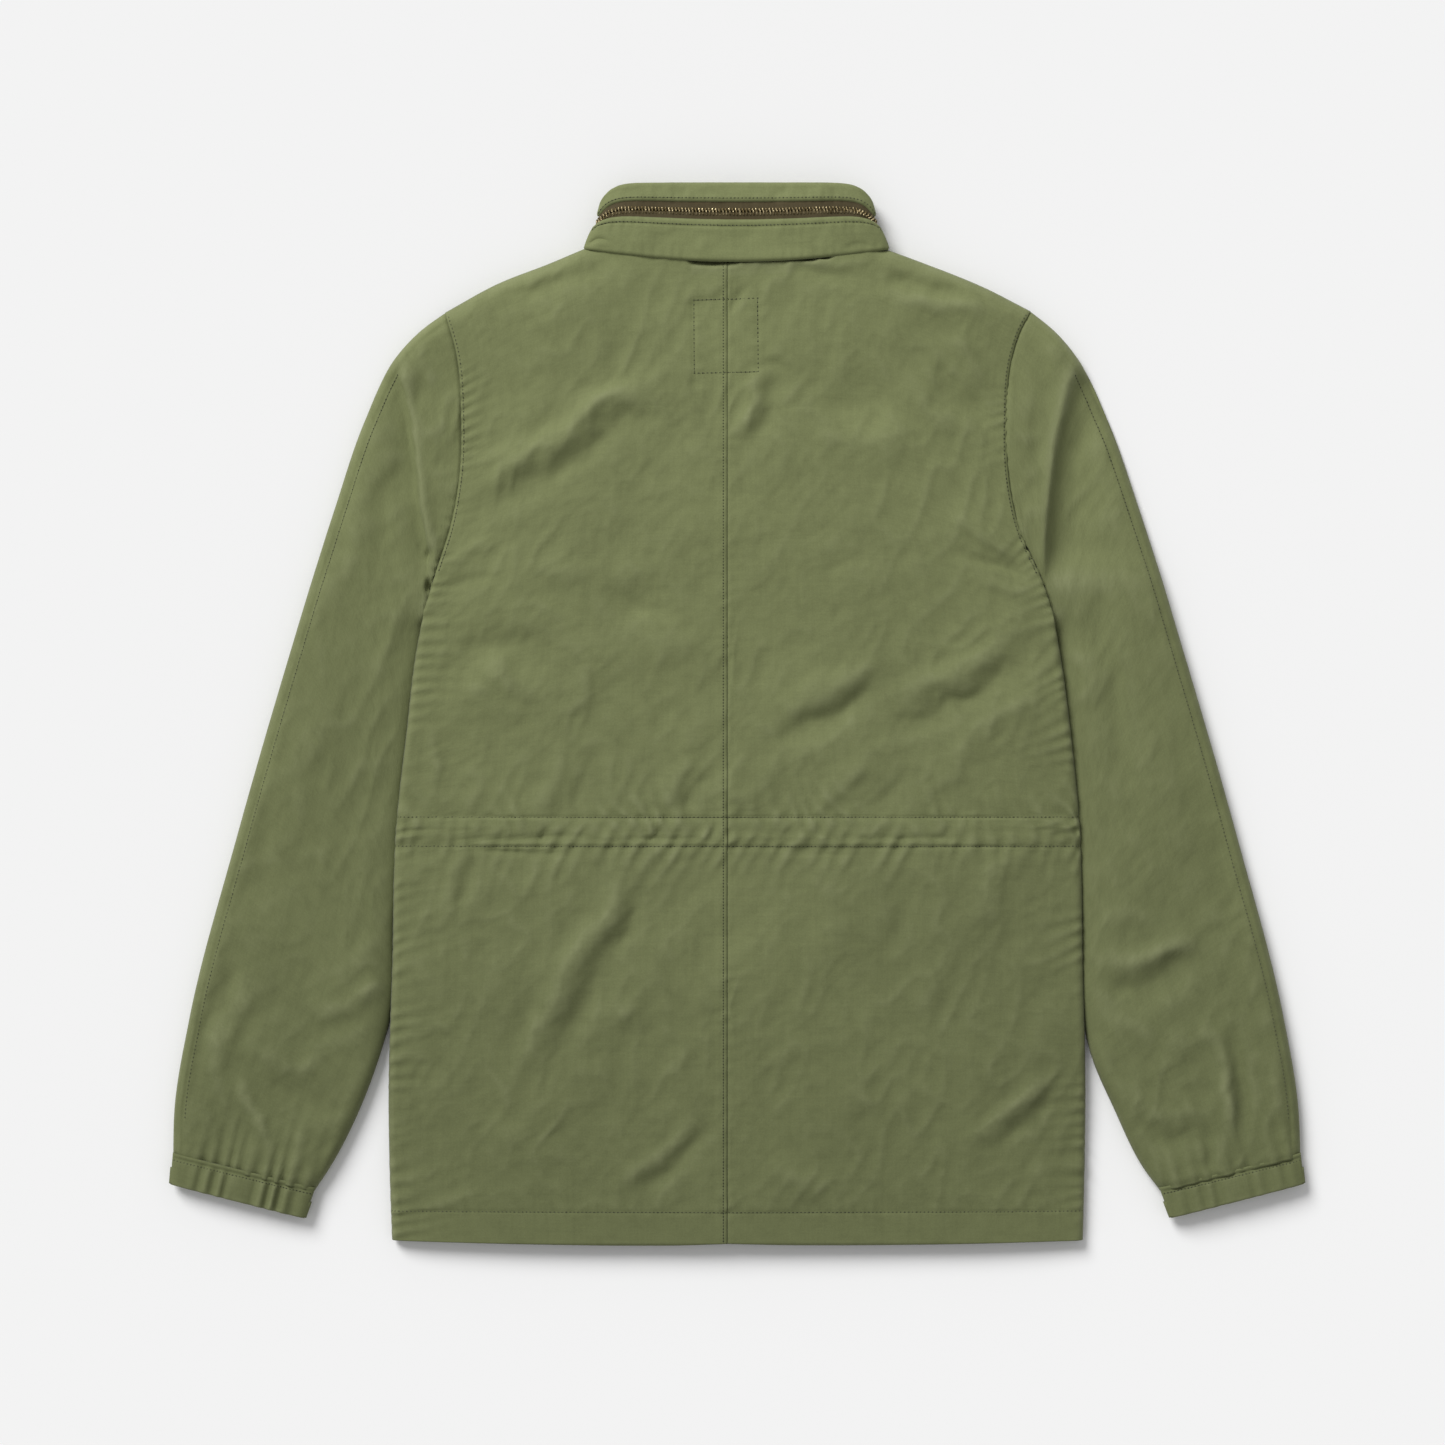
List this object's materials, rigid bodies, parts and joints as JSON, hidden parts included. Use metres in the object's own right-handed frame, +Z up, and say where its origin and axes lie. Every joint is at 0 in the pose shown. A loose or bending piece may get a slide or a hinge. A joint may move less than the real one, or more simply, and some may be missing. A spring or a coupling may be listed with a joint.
{
  "type": "beekeeping jacket",
  "caption": "Olive cloth field jacket laid flat front down, stand collar with zipped hood pouch, gathered cuffs, elastic waist channel, front zip under a snap flap and flapped pockets.",
  "frame": {"origin": "centre of the laid jacket's bounding box, on the surface that it lies on", "axes": "+X to the wearer's right across the spread sleeves, +Y up the back towards the collar, +Z up out of the back"},
  "size_m": [0.8512, 0.795, 0.028],
  "materials": {
    "shell_cloth": "washed cotton sateen, matt",
    "lining": "thin plain weave",
    "zip_tape": "woven tape",
    "brass": "antique brass",
    "elastic": "woven elastic",
    "label_cloth": "woven label, blank"
  },
  "bodies": {
    "torso": {"back_panel_left": "shell_cloth", "back_panel_right": "shell_cloth", "front_panel_left": "shell_cloth", "front_panel_right": "shell_cloth", "waist_casing": "lining", "waist_elastic": "elastic", "hem_facing_back": "lining", "neck_label": "label_cloth", "hanger_loop": "shell_cloth", "collar_lower_band": "shell_cloth", "collar_upper_band": "shell_cloth", "collar_inner_band": "lining", "collar_zip_tape_lower": "zip_tape", "collar_zip_tape_upper": "zip_tape", "collar_zip_teeth_lower": "brass", "collar_zip_teeth_upper": "brass", "stowed_hood": "lining", "front_zip_tape_left": "zip_tape", "front_zip_tape_right": "zip_tape", "front_zip_teeth_left": "brass", "front_zip_teeth_right": "brass", "front_zip_box": "brass", "chest_pocket_left": "lining", "chest_pocket_right": "lining", "waist_pocket_left": "lining", "waist_pocket_right": "lining", "storm_snap_1_stud": "brass", "storm_snap_2_stud": "brass", "storm_snap_3_stud": "brass", "storm_snap_4_stud": "brass", "chest_pocket_left_snap_stud": "brass", "chest_pocket_right_snap_stud": "brass", "waist_pocket_left_snap_stud": "brass", "waist_pocket_right_snap_stud": "brass"},
    "left_sleeve": {"sleeve_top_left": "shell_cloth", "sleeve_under_left": "shell_cloth", "cuff_left": "shell_cloth", "cuff_elastic_left": "elastic"},
    "right_sleeve": {"sleeve_top_right": "shell_cloth", "sleeve_under_right": "shell_cloth", "cuff_right": "shell_cloth", "cuff_elastic_right": "elastic"},
    "storm_flap": {"storm_flap": "shell_cloth", "storm_snap_1_socket": "brass", "storm_snap_2_socket": "brass", "storm_snap_3_socket": "brass", "storm_snap_4_socket": "brass"},
    "front_slider": {"front_zip_slider": "brass"},
    "front_pull": {"front_zip_pull": "brass"},
    "collar_slider": {"collar_zip_slider": "brass"},
    "collar_pull": {"collar_zip_pull": "brass"},
    "chest_pocket_left_flap": {"chest_pocket_left_flap": "shell_cloth", "chest_pocket_left_snap_socket": "brass"},
    "chest_pocket_right_flap": {"chest_pocket_right_flap": "shell_cloth", "chest_pocket_right_snap_socket": "brass"},
    "waist_pocket_left_flap": {"waist_pocket_left_flap": "shell_cloth", "waist_pocket_left_snap_socket": "brass"},
    "waist_pocket_right_flap": {"waist_pocket_right_flap": "shell_cloth", "waist_pocket_right_snap_socket": "brass"}
  },
  "joints": [
    {"name": "left_sleeve_fold", "type": "hinge", "parent": "torso", "child": "left_sleeve", "pos_m": [-0.212, 0.3005, 0.021], "axis": [0.0797, 0.9968, 0], "range_deg": [0, 160]},
    {"name": "right_sleeve_fold", "type": "hinge", "parent": "torso", "child": "right_sleeve", "pos_m": [0.212, 0.3005, 0.021], "axis": [0.0797, -0.9968, 0], "range_deg": [0, 160]},
    {"name": "storm_flap_open", "type": "hinge", "parent": "torso", "child": "storm_flap", "pos_m": [-0.032, 0, 0.0042], "axis": [0, 1, 0], "range_deg": [0, 95]},
    {"name": "chest_pocket_left_flap_open", "type": "hinge", "parent": "torso", "child": "chest_pocket_left_flap", "pos_m": [-0.108, 0.1845, 0.0042], "axis": [1, 0, 0], "range_deg": [0, 150]},
    {"name": "chest_pocket_right_flap_open", "type": "hinge", "parent": "torso", "child": "chest_pocket_right_flap", "pos_m": [0.108, 0.1845, 0.0042], "axis": [1, 0, 0], "range_deg": [0, 150]},
    {"name": "waist_pocket_left_flap_open", "type": "hinge", "parent": "torso", "child": "waist_pocket_left_flap", "pos_m": [-0.14, -0.1355, 0.0042], "axis": [1, 0, 0], "range_deg": [0, 150]},
    {"name": "waist_pocket_right_flap_open", "type": "hinge", "parent": "torso", "child": "waist_pocket_right_flap", "pos_m": [0.14, -0.1355, 0.0042], "axis": [1, 0, 0], "range_deg": [0, 150]},
    {"name": "front_zip_slide", "type": "slide", "parent": "torso", "child": "front_slider", "axis": [0, -1, 0], "range_m": [0, 0.68]},
    {"name": "front_zip_pull_swing", "type": "hinge", "parent": "front_slider", "child": "front_pull", "pos_m": [0, 0.321, 0.0048], "axis": [0, 0, 1], "range_deg": [-20, 20]},
    {"name": "collar_zip_slide", "type": "slide", "parent": "torso", "child": "collar_slider", "axis": [1, 0, 0], "range_m": [0, 0.065]},
    {"name": "collar_zip_pull_lift", "type": "hinge", "parent": "collar_slider", "child": "collar_pull", "pos_m": [0.017, 0.3763, 0.0024], "axis": [0, 1, 0], "range_deg": [0, 150]}
  ]
}
